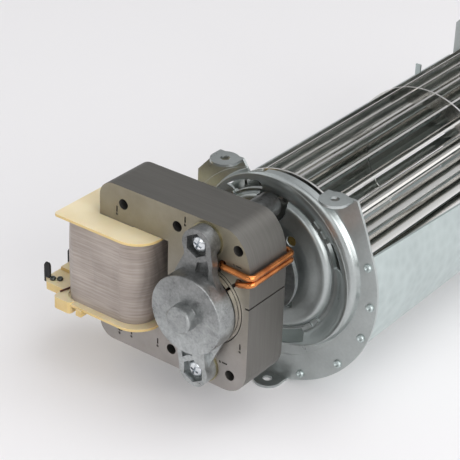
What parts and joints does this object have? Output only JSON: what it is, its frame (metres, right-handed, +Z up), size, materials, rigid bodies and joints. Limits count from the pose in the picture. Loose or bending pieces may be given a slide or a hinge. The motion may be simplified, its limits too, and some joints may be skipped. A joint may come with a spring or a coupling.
{
  "type": "cross-flow blower motor",
  "caption": "Open shaded-pole motor driving a cross-flow impeller in a pressed galvanised casing with folded fixing lugs.",
  "frame": {"origin": "centre of the rectangle of the four fixing holes in the top lugs, on the lugs' top face", "axes": "+Y along the fan axis from the motor to the far end, +Z up, +X to the scroll side"},
  "size_m": [0.1139, 0.2328, 0.0801],
  "materials": {
    "lamination_steel": "satin",
    "bobbin_nylon": "satin",
    "winding_tape": "matt",
    "black_terminal": "satin",
    "magnet_wire": "gloss",
    "copper": "polished copper",
    "cast_aluminium": "satin",
    "bright_steel": "ground",
    "zinc_die_cast": "as cast",
    "sintered_bronze": "matt",
    "spring_steel": "satin",
    "zinc_plated_steel": "bright",
    "passivated_washer": "yellow passivated",
    "galvanised_pressing": "satin",
    "galvanised_casing": "satin",
    "brass": "turned",
    "black_screw": "black oxide",
    "bright_aluminium": "polished",
    "bearing_rubber": "matt"
  },
  "bodies": {
    "frame": {"stator_stack": "lamination_steel", "coil_core": "lamination_steel", "bobbin": "bobbin_nylon", "coil_winding": "winding_tape", "spade_terminals": "black_terminal", "coil_lead": "magnet_wire", "shading_rings_upper": "copper", "shading_rings_lower": "copper", "front_bracket": "zinc_die_cast", "rear_bracket": "zinc_die_cast", "front_bearing": "sintered_bronze", "rear_bearing": "sintered_bronze", "front_retainer": "spring_steel", "rear_retainer": "spring_steel", "bracket_screws": "zinc_plated_steel", "boss_washers": "passivated_washer", "motor_carrier": "galvanised_pressing", "hub_ring": "spring_steel", "near_end_plate": "galvanised_pressing", "casing_scroll": "galvanised_casing", "tongue_sheet": "galvanised_casing", "far_end_plate": "galvanised_pressing", "far_bearing_rubber": "bearing_rubber", "far_bearing_sleeve": "sintered_bronze"},
    "rotor": {"rotor_core": "lamination_steel", "rotor_end_rings": "cast_aluminium", "motor_shaft": "bright_steel", "impeller_hub": "brass", "hub_screw": "black_screw", "impeller_near_disc": "bright_aluminium", "impeller_blades_near": "bright_aluminium", "impeller_mid_ring": "bright_aluminium", "impeller_blades_far": "bright_aluminium", "impeller_far_disc": "bright_aluminium", "stub_shaft": "bright_steel"}
  },
  "joints": [
    {"name": "rotor_spin", "type": "hinge", "parent": "frame", "child": "rotor", "pos_m": [-0.00515, 0, -0.0355], "axis": [0, 1, 0], "continuous": true}
  ]
}
